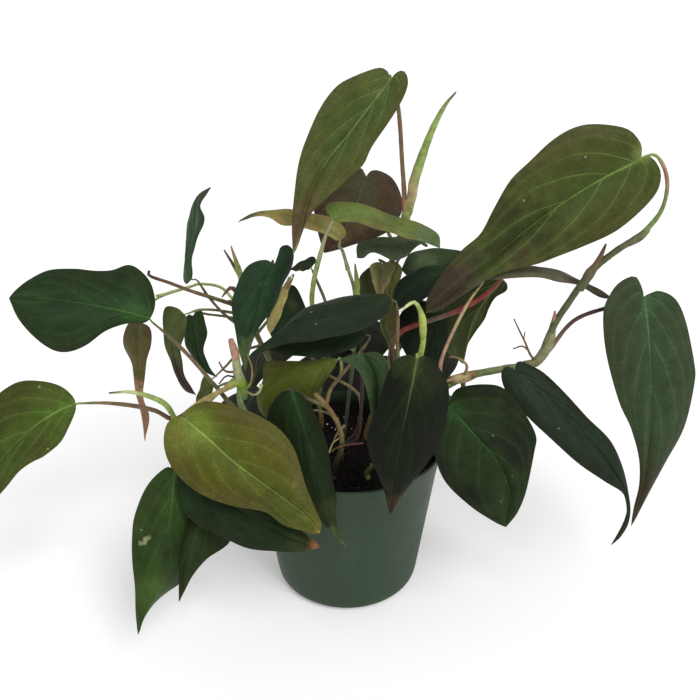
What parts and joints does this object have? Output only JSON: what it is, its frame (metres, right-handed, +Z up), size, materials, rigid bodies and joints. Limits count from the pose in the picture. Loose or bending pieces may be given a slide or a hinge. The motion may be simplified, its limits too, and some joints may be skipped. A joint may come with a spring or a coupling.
{
  "type": "potted micans philodendron",
  "caption": "Trailing houseplant with heart-shaped velvety leaves on arching vines, rooted in soil in a round tapered nursery pot that stands on a flat base.",
  "frame": {"origin": "middle of the pot's flat underside, on the surface that it stands on", "axes": "+Z up along the pot's axis, -Y towards the side that the plant shows in front, +X to its right"},
  "size_m": [0.381, 0.1967, 0.2966],
  "materials": {
    "leaf_green": "matte",
    "leaf_dark": "matte",
    "leaf_olive": "matte",
    "leaf_brown": "matte",
    "leaf_pale": "matte",
    "stem_green": "satin",
    "stem_brown": "satin",
    "stem_pale": "satin",
    "stem_red": "satin",
    "pot": "satin",
    "soil": "matte"
  },
  "bodies": {
    "root": {"pot": "pot", "soil": "soil", "leaf_far_right": "leaf_green", "leaf_small_folded": "leaf_green", "leaf_middle_left": "leaf_green", "leaf_far_left": "leaf_green", "leaf_under_olive": "leaf_green", "leaf_low_left": "leaf_green", "leaf_low_left_inner": "leaf_green", "leaf_front_left": "leaf_green", "leaf_narrow_upright": "leaf_green", "leaf_back_high_left": "leaf_green", "leaf_back_high_right": "leaf_green", "leaf_back_low_left": "leaf_green", "leaf_back_low_right": "leaf_green", "leaf_back_far_left": "leaf_green", "leaf_back_far_right": "leaf_green", "leaf_long_dark": "leaf_green", "leaf_lower_right": "leaf_dark", "leaf_front_right": "leaf_dark", "leaf_front_middle": "leaf_dark", "leaf_middle_lying": "leaf_dark", "leaf_middle_under": "leaf_dark", "leaf_small_dark": "leaf_dark", "leaf_round_behind": "leaf_dark", "leaf_small_behind": "leaf_dark", "leaf_dark_under": "leaf_dark", "leaf_dark_arc": "leaf_dark", "leaf_dark_behind_shoot": "leaf_dark", "leaf_dark_right": "leaf_dark", "leaf_top": "leaf_olive", "leaf_upper_right": "leaf_olive", "leaf_low_far_left": "leaf_olive", "leaf_olive_front": "leaf_olive", "leaf_olive_folded": "leaf_olive", "leaf_olive_bit": "leaf_olive", "leaf_olive_tailed": "leaf_olive", "leaf_back_high_middle": "leaf_olive", "leaf_left_hanging": "leaf_brown", "leaf_purple_behind": "leaf_brown", "leaf_brown_hanging": "leaf_brown", "leaf_olive_behind": "leaf_brown", "leaf_olive_behind_light": "leaf_brown", "leaf_tan_strip": "leaf_pale", "leaf_tan_upper": "leaf_pale", "leaf_light_green": "leaf_pale", "leaf_grey_edge": "leaf_pale", "stem_right": "stem_green", "stem_top": "stem_green", "stem_low_left": "stem_green", "stem_back_left": "stem_green", "stem_back_right": "stem_green", "stem_left": "stem_brown", "stem_left_back": "stem_brown", "stem_front": "stem_brown", "stem_light": "stem_pale", "stem_cream": "stem_pale", "stem_red": "stem_red"}
  },
  "joints": []
}
